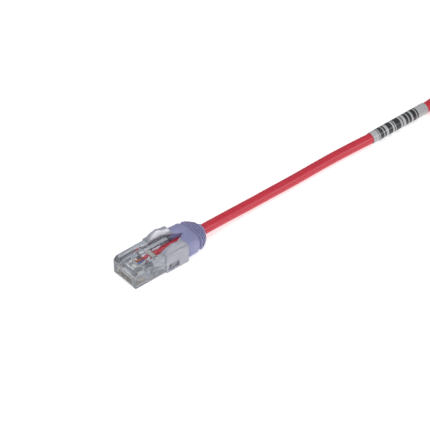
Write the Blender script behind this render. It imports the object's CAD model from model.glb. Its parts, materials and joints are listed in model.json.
"""Ethernet patch cable: two clear modular plugs on a slim red cord, with its spare length in a hank.

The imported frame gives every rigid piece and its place. This script dresses those pieces, builds the
soft and rounded ones as finer meshes, and lays the cord at its real length. Lengths are metres, +X
runs from the near plug's nose to its cord, +Y is the plug's left and +Z is up.
"""

import json
import logging
import math
from dataclasses import dataclass, field
from enum import Enum
from typing import Callable, Iterable, Sequence

import bmesh
import bpy
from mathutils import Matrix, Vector

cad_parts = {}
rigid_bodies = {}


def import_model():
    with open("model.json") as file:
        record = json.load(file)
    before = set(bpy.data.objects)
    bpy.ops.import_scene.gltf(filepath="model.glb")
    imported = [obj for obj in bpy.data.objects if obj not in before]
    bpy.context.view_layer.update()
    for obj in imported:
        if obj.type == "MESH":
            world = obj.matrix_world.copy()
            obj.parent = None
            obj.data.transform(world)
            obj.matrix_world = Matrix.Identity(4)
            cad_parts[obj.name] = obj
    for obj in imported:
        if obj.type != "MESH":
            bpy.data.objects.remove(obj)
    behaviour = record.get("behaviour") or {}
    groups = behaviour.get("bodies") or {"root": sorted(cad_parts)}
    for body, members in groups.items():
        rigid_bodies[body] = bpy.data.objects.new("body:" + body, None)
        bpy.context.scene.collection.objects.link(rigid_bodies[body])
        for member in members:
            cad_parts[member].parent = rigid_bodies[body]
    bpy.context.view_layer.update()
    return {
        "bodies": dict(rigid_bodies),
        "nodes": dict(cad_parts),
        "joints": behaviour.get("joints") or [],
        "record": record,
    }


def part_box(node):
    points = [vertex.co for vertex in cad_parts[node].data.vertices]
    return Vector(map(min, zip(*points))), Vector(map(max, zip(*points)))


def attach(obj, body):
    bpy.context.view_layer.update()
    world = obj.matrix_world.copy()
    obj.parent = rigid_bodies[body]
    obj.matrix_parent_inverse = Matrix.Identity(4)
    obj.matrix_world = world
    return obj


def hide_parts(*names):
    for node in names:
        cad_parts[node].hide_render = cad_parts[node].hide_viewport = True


LOG = logging.getLogger("patch_cable")
MM = 0.001
SCATTER_DEPTH = 1.5 * MM    # how far light spreads under a soft plastic's surface
GRAIN_STRENGTH = 0.4        # of the fine relief
WEAVE_STRENGTH = 0.7
WEAVE_DEPTH = 0.06 * MM
# A wave texture's scale for stripes that are as wide as the gaps between them.
WAVE_PER_STRIPE = 0.3
WHITE_SHARE = 0.6           # of the wave, before the stripe's colour begins
BAR_CHANCE = 0.68           # that a step along the label is printed dark

# How a finer piece is made from its node.
WELD = 0.002 * MM           # corners closer than this are one
FLAT_ANGLE = math.radians(1)
EDGE_ANGLE = math.radians(35)       # sharper edges are rounded
SHADE_ANGLE = math.radians(50)      # sharper edges stay crisp in the shading
ROUNDING_SEGMENTS = 2

# Which faces of a plug take a second finish.
LEVEL = 0.9                 # least part of a level face's normal that points up or down
ROOF_MARGIN = 0.2 * MM      # above and below the strain bar
CREST_START = 0.6 * MM      # above the housing
SLOPE = (0.2, 0.7)          # how far up a crest's slope faces


# ---------------------------------------------------------------- small helpers


def mm(*values: float) -> Vector:
    """A point given in millimetres, in metres."""
    return Vector(values) * MM


def mix(a: float, b: float, t: float) -> float:
    """The value a share t of the way from a to b."""
    return a + (b - a) * t


def ease(t: float) -> float:
    """A share from 0 to 1 that starts and ends gently."""
    t = min(max(t, 0.0), 1.0)
    return t * t * (3.0 - 2.0 * t)


def linear(hex_colour: str) -> tuple[float, float, float, float]:
    """Turns an sRGB hex colour into linear red, green, blue and alpha.

    Args:
        hex_colour: six hex digits, with or without a leading #.

    Returns:
        The colour in Blender's linear space, fully opaque.
    """
    digits = hex_colour.lstrip("#")
    parts = [int(digits[i : i + 2], 16) / 255 for i in (0, 2, 4)]
    red, green, blue = (c / 12.92 if c <= 0.04045 else ((c + 0.055) / 1.055) ** 2.4 for c in parts)
    return red, green, blue, 1.0


def add_node(
    tree: bpy.types.NodeTree,
    kind: str,
    settings: dict[str, object] | None = None,
    links: dict[str, bpy.types.NodeSocket] | None = None,
) -> bpy.types.Node:
    """Adds a node with its settings and links.

    Args:
        tree: the material's or world's node tree.
        kind: the node's type name, without the leading "ShaderNode".
        settings: values by attribute name, or by input name or number.
        links: the socket that feeds each input, by input name or number.

    Returns:
        The new node.
    """
    node = tree.nodes.new("ShaderNode" + kind)
    for key, value in (settings or {}).items():
        if isinstance(key, str) and hasattr(node, key):
            setattr(node, key, value)
        else:
            node.inputs[key].default_value = value
    for key, socket in (links or {}).items():
        tree.links.new(socket, node.inputs[key])
    return node


# ---------------------------------------------------------------- finishes


@dataclass(frozen=True)
class Finish:
    """A surface finish, which becomes one material.

    The base class gives a moulded or drawn surface: a colour that varies a little, a roughness that
    varies a little, and a fine bump.
    """

    name: str
    colour: str
    slot: str = ""              # the record's slot that it belongs to
    roughness: float = 0.4
    metallic: float = 0.0
    clear: float = 0.0          # share of the light that passes through
    ior: float = 1.5
    grain_mm: float = 0.6       # size of the surface's unevenness
    grain_height_mm: float = 0.004
    shade_shift: float = 0.06   # how far the colour varies
    scatter: float = 0.0        # light that spreads under the surface
    glow: float = 0.0           # light that the surface itself gives
    cover: float = 1.0          # how much of what lies behind the surface it covers

    def material(self) -> bpy.types.Material:
        """Builds the material, once for each name.

        Returns:
            The material.
        """
        made = bpy.data.materials.get(self.name)
        if made is None:
            made = bpy.data.materials.new(self.name)
            made.use_nodes = True
            made.node_tree.nodes.clear()
            self.wire(made.node_tree)
        return made

    def wire(self, tree: bpy.types.NodeTree) -> None:
        """Wires the shader to its patterns.

        Args:
            tree: the material's empty node tree.
        """
        place = add_node(tree, "TexCoord").outputs["Object"]
        grain = add_node(
            tree, "TexNoise", {"Scale": 1 / (self.grain_mm * MM), "Detail": 3.0}, {"Vector": place}
        )
        shader = add_node(
            tree,
            "BsdfPrincipled",
            {
                "Metallic": self.metallic,
                "IOR": self.ior,
                "Transmission Weight": self.clear,
                "Subsurface Weight": self.scatter,
                "Subsurface Scale": SCATTER_DEPTH,
                "Emission Color": linear(self.colour),
                "Emission Strength": self.glow,
                "Alpha": self.cover,
            },
            {
                "Base Color": self.colour_socket(tree, place, grain.outputs["Fac"]),
                "Roughness": self.roughness_socket(tree, grain.outputs["Fac"]),
                "Normal": self.bump_socket(tree, place, grain.outputs["Fac"]),
            },
        )
        add_node(tree, "OutputMaterial", links={"Surface": shader.outputs["BSDF"]})

    def colour_socket(
        self, tree: bpy.types.NodeTree, place: bpy.types.NodeSocket, grain: bpy.types.NodeSocket
    ) -> bpy.types.NodeSocket:
        """The colour, darker and lighter with the grain.

        Args:
            tree: the material's node tree.
            place: object coordinates.
            grain: the noise from 0 to 1.

        Returns:
            A colour output.
        """
        base = linear(self.colour)
        dark = tuple(c * (1 - self.shade_shift) for c in base[:3]) + (1.0,)
        light = tuple(min(1.0, c * (1 + self.shade_shift)) for c in base[:3]) + (1.0,)
        ramp = add_node(tree, "ValToRGB", links={"Fac": grain})
        for stop, shade, position in zip(ramp.color_ramp.elements, (dark, light), (0.35, 0.65)):
            stop.color = shade
            stop.position = position
        return ramp.outputs["Color"]

    def roughness_socket(
        self, tree: bpy.types.NodeTree, grain: bpy.types.NodeSocket
    ) -> bpy.types.NodeSocket:
        """The roughness, a fifth more or less with the grain.

        Args:
            tree: the material's node tree.
            grain: the noise from 0 to 1.

        Returns:
            A value output.
        """
        spread = add_node(
            tree,
            "MapRange",
            {"To Min": self.roughness * 0.8, "To Max": self.roughness * 1.2},
            {"Value": grain},
        )
        return spread.outputs["Result"]

    def bump_socket(
        self,
        tree: bpy.types.NodeTree,
        place: bpy.types.NodeSocket,
        grain: bpy.types.NodeSocket,
    ) -> bpy.types.NodeSocket:
        """The fine relief.

        Args:
            tree: the material's node tree.
            place: object coordinates.
            grain: the noise from 0 to 1.

        Returns:
            A normal output.
        """
        bump = add_node(
            tree,
            "Bump",
            {"Strength": GRAIN_STRENGTH, "Distance": self.grain_height_mm * MM},
            {"Height": grain},
        )
        return bump.outputs["Normal"]


@dataclass(frozen=True)
class StripedInsulation(Finish):
    """Extruded insulation, white with a coloured stripe along it."""

    stripe: str = "#FFFFFF"
    stripe_mm: float = 0.5      # coarser than a real one, so that it shows

    def colour_socket(
        self, tree: bpy.types.NodeTree, place: bpy.types.NodeSocket, grain: bpy.types.NodeSocket
    ) -> bpy.types.NodeSocket:
        """White insulation with bands of the pair's colour.

        Args:
            tree: the material's node tree.
            place: object coordinates.
            grain: the noise from 0 to 1.

        Returns:
            A colour output.
        """
        scale = WAVE_PER_STRIPE / (self.stripe_mm * MM)
        wave = add_node(
            tree,
            "TexWave",
            {"wave_type": "BANDS", "bands_direction": "DIAGONAL", "Scale": scale},
            {"Vector": place},
        )
        ramp = add_node(tree, "ValToRGB", links={"Fac": wave.outputs["Fac"]})
        ramp.color_ramp.interpolation = "CONSTANT"
        ramp.color_ramp.elements[0].color = linear(self.colour)
        ramp.color_ramp.elements[1].position = WHITE_SHARE
        ramp.color_ramp.elements[1].color = linear(self.stripe)
        return ramp.outputs["Color"]


@dataclass(frozen=True)
class PrintedWrap(Finish):
    """A printed wrap label: pale vinyl with plain bars of chance widths, which say nothing."""

    ink: str = "#26272B"
    bars_start: float = 0.0     # along the cord, in metres
    bars_end: float = 0.0
    module_mm: float = 0.38     # width of the narrowest bar

    def colour_socket(
        self, tree: bpy.types.NodeTree, place: bpy.types.NodeSocket, grain: bpy.types.NodeSocket
    ) -> bpy.types.NodeSocket:
        """Bars across the cord between two places along it.

        Args:
            tree: the material's node tree.
            place: object coordinates.
            grain: the noise from 0 to 1.

        Returns:
            A colour output.
        """
        along = add_node(tree, "SeparateXYZ", links={"Vector": place}).outputs["X"]
        scaled = self.math(tree, "MULTIPLY", along, 1 / (self.module_mm * MM))
        step = self.math(tree, "FLOOR", scaled)
        chance = add_node(tree, "TexWhiteNoise", {"noise_dimensions": "1D"}, {"W": step})
        bar = self.math(tree, "GREATER_THAN", chance.outputs["Value"], 1 - BAR_CHANCE)
        after = self.math(tree, "GREATER_THAN", along, self.bars_start)
        before = self.math(tree, "LESS_THAN", along, self.bars_end)
        inside = self.math(tree, "MULTIPLY", after, before)
        printed = self.math(tree, "MULTIPLY", bar, inside)
        mixed = add_node(
            tree,
            "Mix",
            {"data_type": "RGBA", 6: linear(self.colour), 7: linear(self.ink)},
            {0: printed},
        )
        return mixed.outputs[2]

    @staticmethod
    def math(
        tree: bpy.types.NodeTree,
        operation: str,
        first: bpy.types.NodeSocket,
        second: bpy.types.NodeSocket | float | None = None,
    ) -> bpy.types.NodeSocket:
        """One step of arithmetic on a socket.

        Args:
            tree: the material's node tree.
            operation: the name of the operation.
            first: the socket on its left.
            second: a socket or number on its right, if it takes one.

        Returns:
            A value output.
        """
        fixed = isinstance(second, (int, float))
        settings = {"operation": operation}
        links = {0: first}
        if fixed:
            settings[1] = float(second)
        elif second is not None:
            links[1] = second
        return add_node(tree, "Math", settings, links).outputs["Value"]


@dataclass(frozen=True)
class WovenStrap(Finish):
    """A woven hook-and-loop strap: matt, with a fine weave across its length."""

    thread_mm: float = 0.35

    def bump_socket(
        self,
        tree: bpy.types.NodeTree,
        place: bpy.types.NodeSocket,
        grain: bpy.types.NodeSocket,
    ) -> bpy.types.NodeSocket:
        """Threads that cross, at the thread's spacing.

        Args:
            tree: the material's node tree.
            place: object coordinates.
            grain: the noise from 0 to 1.

        Returns:
            A normal output.
        """
        weave = add_node(
            tree, "TexChecker", {"Scale": 1 / (self.thread_mm * MM)}, {"Vector": place}
        )
        bump = add_node(
            tree,
            "Bump",
            {"Strength": WEAVE_STRENGTH, "Distance": WEAVE_DEPTH},
            {"Height": weave.outputs["Fac"]},
        )
        return bump.outputs["Normal"]


# A finish for some of a piece's faces, and what picks them by their middle and normal.
Second = tuple[Finish, Callable[[Vector, Vector], bool]]

# Moulded clear polycarbonate: glossy, grey and a little blue through its thick walls and edges.
HOUSING = Finish("clear_polycarbonate", "#CDD2DA", "clear_housing", roughness=0.08, clear=0.85,
                 ior=1.585, grain_mm=1.5, grain_height_mm=0.01, shade_shift=0.03)
# The same where it is thin and flat, so that what lies under it is plain to see.
THIN_WALL = Finish("thin_clear_polycarbonate", "#E9ECF1", "clear_housing", roughness=0.05,
                   clear=0.9, ior=1.585, grain_mm=1.5, grain_height_mm=0.0, shade_shift=0.02,
                   cover=0.05)
# The same resin, moulded small with a satin surface.
INSERT = Finish("satin_polycarbonate", "#DDE0DE", "clear_insert", roughness=0.25, clear=0.6,
                ior=1.585, grain_mm=1.0, grain_height_mm=0.01, shade_shift=0.03)
# The guard's polycarbonate, hazy with a slight violet cast.
GUARD = Finish("hazy_polycarbonate", "#CDCEDA", "clear_guard", roughness=0.3, clear=0.55,
               ior=1.585, grain_mm=1.6, grain_height_mm=0.02, shade_shift=0.04)
# The crests' inner slopes, left frosted by the mould.
FROSTED = Finish("frosted_polycarbonate", "#EDEEF6", "clear_guard", roughness=0.35, clear=0.15,
                 ior=1.585, grain_mm=1.6, grain_height_mm=0.02, shade_shift=0.03)
# Translucent thermoplastic elastomer: satin, and softly lit from inside.
BOOT = Finish("lavender_elastomer", "#999BC4", "lavender_boot", roughness=0.4, clear=0.3, ior=1.5,
              scatter=0.25, grain_mm=0.5, grain_height_mm=0.006)
# Extruded flexible PVC: satin, with a faint ripple from the conductors beneath.
JACKET = Finish("extruded_pvc", "#BC2036", "red_jacket", roughness=0.42, ior=1.52, grain_mm=2.2,
                grain_height_mm=0.05, shade_shift=0.05, scatter=0.05)
# Gold plate over nickel on stamped bronze.
GOLD = Finish("gold_plate", "#E8B04E", "gold_contacts", roughness=0.24, metallic=1.0,
              grain_mm=0.2, grain_height_mm=0.002, shade_shift=0.04)
# Woven nylon hook-and-loop strap: matt.
STRAP = WovenStrap("woven_nylon", "#1C1C1F", "tie", roughness=0.85)
# Light table: pale acrylic, lit a little from beneath, so that shadows stay faint.
FLOOR = Finish("light_table", "#F4F4F4", roughness=0.75, grain_mm=8, grain_height_mm=0.0,
               glow=0.55)


class Wire(Enum):
    """The eight conductors in their order across the contacts: number, colour and stripe."""

    WHITE_ORANGE = (1, "#EFE6DC", "#E3761D")
    ORANGE = (2, "#E3761D", None)
    WHITE_GREEN = (3, "#E6EEE4", "#1F7A3C")
    BLUE = (4, "#2A4FA5", None)
    WHITE_BLUE = (5, "#E2E8F2", "#2A4FA5")
    GREEN = (6, "#1F7A3C", None)
    WHITE_BROWN = (7, "#ECE4DC", "#6A4126")
    BROWN = (8, "#6A4126", None)

    def finish(self) -> Finish:
        """This conductor's insulation: thin extruded polyethylene, plain or striped."""
        _, colour, stripe = self.value
        colour_name = self.name.lower()
        name, slot = f"{colour_name}_polyethylene", f"{colour_name}_wire"
        if stripe:
            return StripedInsulation(name, colour, slot, roughness=0.3, stripe=stripe)
        return Finish(name, colour, slot, roughness=0.3)


# ---------------------------------------------------------------- mesh tools


def mesh_object(name: str, bm: bmesh.types.BMesh, finish: Finish) -> bpy.types.Object:
    """Turns a bmesh into a smooth-shaded object with one material.

    Args:
        name: the piece's name.
        bm: the mesh, which is freed.
        finish: its finish.

    Returns:
        The object, linked to the scene.
    """
    bmesh.ops.recalc_face_normals(bm, faces=bm.faces)
    mesh = bpy.data.meshes.new(name)
    bm.to_mesh(mesh)
    bm.free()
    mesh.materials.append(finish.material())
    mesh.polygons.foreach_set("use_smooth", [True] * len(mesh.polygons))
    made = bpy.data.objects.new(name, mesh)
    bpy.context.scene.collection.objects.link(made)
    return made


def through(points: Sequence[Vector], step: float) -> list[Vector]:
    """A smooth line through the given points (centripetal Catmull-Rom).

    Args:
        points: the points that it passes through.
        step: about how far apart the line's own points are.

    Returns:
        The line's points, with both ends kept.
    """
    pts = [points[0] * 2 - points[1], *points, points[-1] * 2 - points[-2]]
    out: list[Vector] = []
    for p0, p1, p2, p3 in zip(pts, pts[1:], pts[2:], pts[3:]):
        t0 = 0.0
        t1 = t0 + (p1 - p0).length ** 0.5
        t2 = t1 + (p2 - p1).length ** 0.5
        t3 = t2 + (p3 - p2).length ** 0.5
        count = max(2, round((p2 - p1).length / step))
        for k in range(count):
            t = mix(t1, t2, k / count)
            a1 = p0 * ((t1 - t) / (t1 - t0)) + p1 * ((t - t0) / (t1 - t0))
            a2 = p1 * ((t2 - t) / (t2 - t1)) + p2 * ((t - t1) / (t2 - t1))
            a3 = p2 * ((t3 - t) / (t3 - t2)) + p3 * ((t - t2) / (t3 - t2))
            b1 = a1 * ((t2 - t) / (t2 - t0)) + a2 * ((t - t0) / (t2 - t0))
            b2 = a2 * ((t3 - t) / (t3 - t1)) + a3 * ((t - t1) / (t3 - t1))
            out.append(b1 * ((t2 - t) / (t2 - t1)) + b2 * ((t - t1) / (t2 - t1)))
    out.append(points[-1].copy())
    return out


def finer(
    name: str,
    finish: Finish,
    rounding_mm: float,
    second: Second | None = None,
    cuts: Sequence[float] = (),
) -> bpy.types.Object:
    """Makes a finer piece in a CAD node's place, with the rounded edges of the moulding.

    Args:
        name: the node's name.
        finish: the piece's finish.
        rounding_mm: the width of its rounded edges.
        second: a second finish, and what tells from a face's middle and normal where it goes.
        cuts: where along Y its faces are divided, so that the second finish can end there.

    Returns:
        The piece, which stands for the node and rides on the same body.
    """
    node = FRAME["nodes"][name]
    bm = bmesh.new()
    bm.from_mesh(node.data)
    bmesh.ops.remove_doubles(bm, verts=bm.verts, dist=WELD)
    bmesh.ops.dissolve_limit(
        bm, angle_limit=FLAT_ANGLE, verts=bm.verts, edges=bm.edges, use_dissolve_boundaries=False
    )
    sharp = [e for e in bm.edges if len(e.link_faces) == 2 and e.calc_face_angle() > EDGE_ANGLE]
    bmesh.ops.bevel(
        bm,
        geom=sharp,
        offset=rounding_mm * MM,
        segments=ROUNDING_SEGMENTS,
        profile=0.5,
        affect="EDGES",
        clamp_overlap=True,
    )
    for y in cuts:
        everything = [*bm.verts, *bm.edges, *bm.faces]
        bmesh.ops.bisect_plane(bm, geom=everything, plane_co=(0, y, 0), plane_no=(0, 1, 0))
    made = mesh_object(f"{name}_moulding", bm, finish)
    made.data.set_sharp_from_angle(angle=SHADE_ANGLE)
    if second:
        other, picks = second
        made.data.materials.append(other.material())
        for face in made.data.polygons:
            face.material_index = int(picks(face.center, face.normal))
    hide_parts(name)
    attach(made, body_of(name))
    return made


def body_of(name: str) -> str:
    """The body that a CAD node belongs to, by the record."""
    bodies = FRAME["record"]["behaviour"]["bodies"]
    return next(body for body, members in bodies.items() if name in members)


# ---------------------------------------------------------------- the plug


@dataclass
class Plug:
    """One plug: its housing, latch, contacts, conductors, guard and boot.

    Sizes are in metres. Places come from the frame's boxes for this end of the cable.
    """

    end: str
    pieces: list[bpy.types.Object] = field(default_factory=list)

    def dress(
        self,
        part: str,
        finish: Finish,
        rounding_mm: float = 0.0,
        second: Second | None = None,
        cuts: Sequence[float] = (),
    ) -> bpy.types.Object:
        """Gives a part its finish, on a finer piece where its edges are rounded.

        Args:
            part: the part's name without the end.
            finish: its finish.
            rounding_mm: the width of its rounded edges, or 0 to keep the node as it is.
            second: a second finish and where it goes, as finer takes it.
            cuts: where along Y its faces are divided, as finer takes them.

        Returns:
            The part's object.
        """
        name = f"{self.end}_{part}"
        if rounding_mm:
            made = finer(name, finish, rounding_mm, second, cuts)
        else:
            made = dress_node(name, finish)
        self.pieces.append(made)
        LOG.info("%s: %s", made.name, finish.name)
        return made

    def thin_roof(self, middle: Vector, normal: Vector) -> bool:
        """Whether a face of the housing is on the thin roof over the cord's jacket.

        Args:
            middle: the face's middle.
            normal: its normal.

        Returns:
            True if it is.
        """
        bar_low, bar_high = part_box(f"{self.end}_strain_bar")
        jacket_low, jacket_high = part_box(f"{self.end}_jacket_end")
        return (
            abs(normal.z) > LEVEL
            and bar_low.z - ROOF_MARGIN < middle.z < bar_high.z + ROOF_MARGIN
            and jacket_low.y < middle.y < jacket_high.y
        )

    def thin_tab(self, middle: Vector, normal: Vector) -> bool:
        """Whether a face of the latch is flat, or on its thumb tab past the strain bar."""
        return middle.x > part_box(f"{self.end}_strain_bar")[1].x or abs(normal.z) > LEVEL

    def inner_slope(self, middle: Vector, normal: Vector) -> bool:
        """Whether a face of the guard is on a crest's slope towards the channel.

        Args:
            middle: the face's middle.
            normal: its normal.

        Returns:
            True if it is.
        """
        low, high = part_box(f"{self.end}_housing")
        side = middle.y - (low.y + high.y) / 2
        faces_in = normal.y * side < 0
        return middle.z > high.z + CREST_START and SLOPE[0] < normal.z < SLOPE[1] and faces_in

    def build(self) -> None:
        """Builds and dresses every piece of the plug."""
        bore = [corner.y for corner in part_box(f"{self.end}_jacket_end")]
        self.dress("housing", HOUSING, 0.08, (THIN_WALL, self.thin_roof), bore)
        self.dress("latch", HOUSING, 0.1, (THIN_WALL, self.thin_tab))
        self.dress("wire_carrier", INSERT)
        self.dress("strain_bar", INSERT, 0.1)
        self.dress("jacket_end", JACKET)
        self.dress("latch_guard", GUARD, 0.2, (FROSTED, self.inner_slope))
        self.dress("boot", BOOT, 0.12)
        contacts = [f"contact_{w.value[0]}" for w in Wire] if self.end == "near" else ["contacts"]
        for part in contacts:
            self.dress(part, GOLD, 0.04)
        for wire in Wire:
            self.dress(f"conductor_{wire.value[0]}", wire.finish())


# ---------------------------------------------------------------- the cord

# The middle of the free cord, from the near boot to the hank and from the hank to the far boot.
LEAD = [
    mm(17.25, 0, 3.1), mm(20, 0, 3.1), mm(25, 0.2, 2.8), mm(32, 0.5, 2.3), mm(40, 0.6, 2),
    mm(49, 0.6, 1.9), mm(58, 0.5, 1.9), mm(67, 0.6, 1.9), mm(75, 0.6, 1.9), mm(83, 0.3, 2),
    mm(88, 0, 2.1), mm(92, -0.2, 2.1), mm(101, -0.2, 2.1), mm(110, -0.2, 2.1),
    mm(119, -0.2, 2.1), mm(122, 0.1, 2.1), mm(125, 0.9, 2), mm(129, 2.2, 1.9),
    mm(133, 3.5, 1.9), mm(138, 4, 1.9),
]
TAIL = [
    mm(207, -22.6, 1.9), mm(202, -21.9, 2.2), mm(198, -20.3, 2.7), mm(193.5, -16.9, 2.95),
    mm(189, -13.5, 3), mm(185, -11.9, 3.05), mm(180, -11.2, 3.1), mm(176, -11.2, 3.1),
]

PATH_STEP = 1.2 * MM        # between the points of the cord's middle
BEVEL_STEPS = 6             # of a quarter of the cord's round


@dataclass
class Cord:
    """The free cord: it leaves the near boot, carries the label, folds into a hank and ends in the
    far plug's boot."""

    diameter: float = 0.0038
    length: float = 0.926
    fold_radius: float = 0.0114
    tie_lift: float = 0.0006    # how far the tie's underside raises it
    tie_reach: float = 0.014    # how gently it rises, along the cord
    turns: float = 3.5
    # Where each change of layer starts, and how many turns it takes.
    climb: tuple[float, float] = (0.75, 0.22)
    step_in: tuple[float, float] = (1.6, 0.15)
    drop: tuple[float, float] = (2.53, 0.17)

    def __post_init__(self) -> None:
        """Reads the hank's and the tie's places from the frame."""
        low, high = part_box("cord_hank")
        outside = (high.y - low.y) / 2
        self.fold_y = (high.y + low.y) / 2
        self.near_x = low.x + outside
        self.far_x = high.x - outside
        tie_low, tie_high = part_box("hank_tie")
        self.tie_x = (tie_low.x + tie_high.x) / 2

    def turn_point(self, share: float, radius: float, height: float) -> Vector:
        """A point of one turn of the hank.

        Args:
            share: how far round it is, from 0 where the cord comes in to 1.
            radius: the distance from the hank's middle line to the run.
            height: the height of the cord's middle.

        Returns:
            The point.
        """
        quarter, within = divmod(share * 4, 1)
        if quarter == 0:
            return Vector((mix(self.near_x, self.far_x, within), self.fold_y + radius, height))
        if quarter == 2:
            return Vector((mix(self.far_x, self.near_x, within), self.fold_y - radius, height))
        centre = self.far_x if quarter == 1 else self.near_x
        turn = math.radians((90 if quarter == 1 else 270) - 180 * within)
        return Vector(
            (centre + radius * math.cos(turn), self.fold_y + radius * math.sin(turn), height)
        )

    def hank(self, steps: int = 48) -> list[Vector]:
        """The turns: two outside, one on the other, then two inside, on top and then below.

        Args:
            steps: the points in one turn.

        Returns:
            The points of all the turns.
        """
        d = self.diameter
        inner, outer = self.fold_radius, self.fold_radius + d
        low, high = d / 2, 1.5 * d
        points = []
        for k in range(1, round(self.turns * steps)):
            turned = k / steps
            climbed, moved_in, dropped = (
                ease((turned - start) / takes)
                for start, takes in (self.climb, self.step_in, self.drop)
            )
            height = mix(mix(low, high, climbed), low, dropped)
            points.append(self.turn_point(turned % 1, mix(outer, inner, moved_in), height))
        for p in points:
            p.z += self.tie_lift * ease(1.6 - abs(p.x - self.tie_x) / self.tie_reach)
        return points

    def build(self, with_pieces: Iterable[bpy.types.Object]) -> bpy.types.Object:
        """Args:
            with_pieces: the pieces on it.

        Returns:
            The cord's object.
        """
        path = through([*LEAD, *self.hank(), *TAIL], PATH_STEP)
        curve = bpy.data.curves.new("free_cord", "CURVE")
        curve.dimensions = "3D"
        curve.bevel_depth = self.diameter / 2
        curve.bevel_resolution = BEVEL_STEPS
        curve.twist_mode = "Z_UP"
        spline = curve.splines.new("POLY")
        spline.points.add(len(path) - 1)
        for point, p in zip(spline.points, path):
            point.co = (*p, 1.0)
        spline.use_smooth = True
        curve.materials.append(JACKET.material())
        made = bpy.data.objects.new("free_cord", curve)
        bpy.context.scene.collection.objects.link(made)
        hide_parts("cord_lead", "cord_hank", "cord_tail")
        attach(made, "cable")
        measured = sum((b - a).length for a, b in zip(path, path[1:]))
        LOG.info("free_cord: %.4f m, stated as %.3f m", measured, self.length)
        return made


# ---------------------------------------------------------------- studio


@dataclass
class Studio:
    """The pale floor, the soft lights and the camera."""

    azimuth: float = -40.06
    elevation: float = 41.65
    distance: float = 1.2
    lens_mm: float = 297.0
    aim: Vector = field(default_factory=lambda: mm(25.3, 3.94, 2.0))
    sensor_mm: float = 36.0
    surround: float = 0.42      # strength of the white surround
    floor_half: float = 3.0
    floor_gap: float = 0.05 * MM    # keeps the floor's face off the pieces' own undersides
    # Name, place, size and power of each lamp.
    softboxes: tuple = (
        ("overhead_softbox", (0.0, 0.15, 0.9), 0.7, 3.2),
        ("left_softbox", (-0.7, -0.1, 0.5), 0.4, 1.2),
        ("right_softbox", (0.38, -0.75, 0.4), 0.3, 2.6),
    )

    def build(self) -> None:
        """Builds the set."""
        self.floor()
        self.lights()
        self.camera()

    def floor(self) -> None:
        """A plain floor, just under the surface that the cable lies on."""
        bm = bmesh.new()
        bmesh.ops.create_grid(bm, x_segments=1, y_segments=1, size=self.floor_half)
        made = mesh_object("floor", bm, FLOOR)
        made.location.z = -self.floor_gap

    def lights(self) -> None:
        """A large overhead softbox, one on each side and a bright surround."""
        world = bpy.data.worlds.new("studio")
        world.use_nodes = True
        background = world.node_tree.nodes["Background"]
        background.inputs["Color"].default_value = (1, 1, 1, 1)
        background.inputs["Strength"].default_value = self.surround
        bpy.context.scene.world = world
        for name, place, size, power in self.softboxes:
            lamp = bpy.data.lights.new(name, "AREA")
            lamp.size = size
            lamp.energy = power
            holder = bpy.data.objects.new(name, lamp)
            holder.location = place
            holder.rotation_euler = (-Vector(place)).to_track_quat("-Z", "Y").to_euler()
            bpy.context.scene.collection.objects.link(holder)

    def camera(self) -> None:
        """A long lens, down onto the plug from its right front."""
        a, e = math.radians(self.azimuth), math.radians(self.elevation)
        back = Vector((math.sin(a) * math.cos(e), -math.cos(a) * math.cos(e), math.sin(e)))
        camera = bpy.data.cameras.new("camera")
        camera.lens = self.lens_mm
        camera.sensor_width = self.sensor_mm
        camera.clip_start = 0.01
        holder = bpy.data.objects.new("camera", camera)
        holder.location = self.aim + back * self.distance
        holder.rotation_euler = (-back).to_track_quat("-Z", "Y").to_euler()
        bpy.context.scene.collection.objects.link(holder)
        bpy.context.scene.camera = holder
        bpy.context.scene.view_settings.view_transform = "Standard"


FRAME: dict = {}


def dress_node(name: str, finish: Finish) -> bpy.types.Object:
    """Gives a CAD node that stays its finish.

    Args:
        name: the node's name.
        finish: its finish.

    Returns:
        The node's object.
    """
    made = FRAME["nodes"][name]
    made.data.materials.clear()
    made.data.materials.append(finish.material())
    return made


def main() -> None:
    """Builds the cable and its set, in order."""
    FRAME.update(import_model())
    Studio().build()
    low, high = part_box("cord_label")
    # Vinyl film, printed and wrapped: pale and satin, plain at both ends.
    wrap = PrintedWrap("printed_vinyl", "#A6A8AB", "label", roughness=0.35,
                       bars_start=low.x + 2.5 * MM, bars_end=high.x - 4.5 * MM)
    label = finer("cord_label", wrap, 0.05)
    tie = finer("hank_tie", STRAP, 0.15)
    near = Plug("near")
    far = Plug("far")
    near.build()
    far.build()
    Cord().build([label, tie, *far.pieces])


if __name__ == "__main__":
    logging.basicConfig(level=logging.INFO, format="%(name)s %(message)s")
    main()
